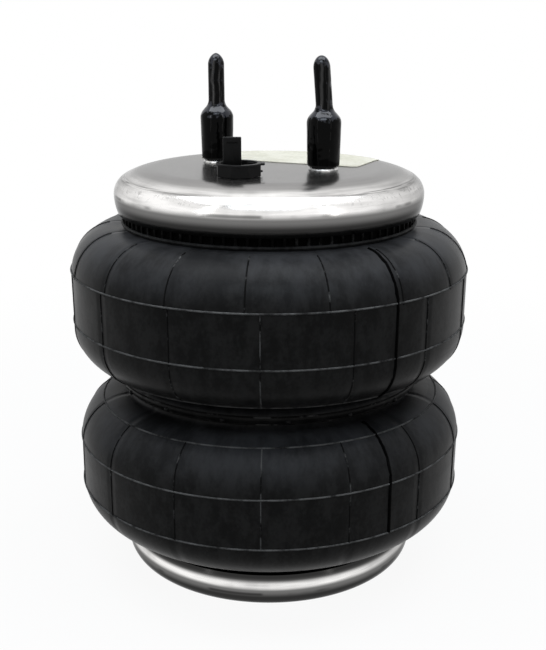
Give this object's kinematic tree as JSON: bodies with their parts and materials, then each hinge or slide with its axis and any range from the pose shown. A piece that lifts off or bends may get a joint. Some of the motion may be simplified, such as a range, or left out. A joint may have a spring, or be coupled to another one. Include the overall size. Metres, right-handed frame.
{
  "type": "air bellows actuator",
  "caption": "Rubber air bellows actuator crimped between round steel bead plates, with capped studs and a plugged air inlet on top. It lengthens as it fills with air.",
  "frame": {"origin": "centre of the lower plate's flat outer face", "axes": "+Z along the stroke towards the studs, +X along the line through the studs"},
  "size_m": [0.1494, 0.1494, 0.1944],
  "materials": {
    "plate_steel": "satin, drawn sheet",
    "stud_steel": "bright zinc plate",
    "bead_wire": "bronze-coated wire",
    "cover_rubber": "moulded, satin",
    "bead_rubber": "matt",
    "cord_ply": "rubberised cord",
    "cap_vinyl": "glossy dipped vinyl",
    "plug_plastic": "satin moulding",
    "label_paper": "matt, blank"
  },
  "bodies": {
    "lower_plate": {"lower_bead_plate": "plate_steel", "lower_bead_core": "bead_wire", "lower_bead_filler": "bead_rubber", "blind_nut_left": "stud_steel", "blind_nut_right": "stud_steel"},
    "girdle": {"girdle_hoop": "bead_wire", "inner_liner": "bead_rubber", "inner_ply": "cord_ply", "outer_ply": "cord_ply", "outer_cover": "cover_rubber"},
    "upper_plate": {"upper_bead_plate": "plate_steel", "upper_bead_core": "bead_wire", "upper_bead_filler": "bead_rubber", "stud_left": "stud_steel", "stud_right": "stud_steel", "stud_collar_left": "stud_steel", "stud_collar_right": "stud_steel", "air_inlet_bushing": "stud_steel", "blank_label": "label_paper"},
    "cap_left": {"stud_cap_left": "cap_vinyl"},
    "cap_right": {"stud_cap_right": "cap_vinyl"},
    "plug": {"inlet_plug": "plug_plastic"}
  },
  "joints": [
    {"name": "lower_stroke", "type": "slide", "parent": "lower_plate", "child": "girdle", "axis": [0, 0, 1], "range_m": [-0.033, 0.0075], "stiffness_N_per_m": 3500, "springref_m": 0.0017, "deforming": ["inner_liner", "inner_ply", "outer_ply", "outer_cover"]},
    {"name": "upper_stroke", "type": "slide", "parent": "girdle", "child": "upper_plate", "axis": [0, 0, 1], "range_m": [-0.033, 0.0075], "stiffness_N_per_m": 3500, "springref_m": 0.0017, "deforming": ["inner_liner", "inner_ply", "outer_ply", "outer_cover"]},
    {"name": "cap_left_pull", "type": "slide", "parent": "upper_plate", "child": "cap_left", "axis": [0, 0, 1], "range_m": [0, 0.03]},
    {"name": "cap_right_pull", "type": "slide", "parent": "upper_plate", "child": "cap_right", "axis": [0, 0, 1], "range_m": [0, 0.03]},
    {"name": "plug_pull", "type": "slide", "parent": "upper_plate", "child": "plug", "axis": [0, 0, 1], "range_m": [0, 0.02]}
  ],
  "couplings": [
    {"joint": "upper_stroke", "follows": "lower_stroke", "ratio": 1}
  ]
}
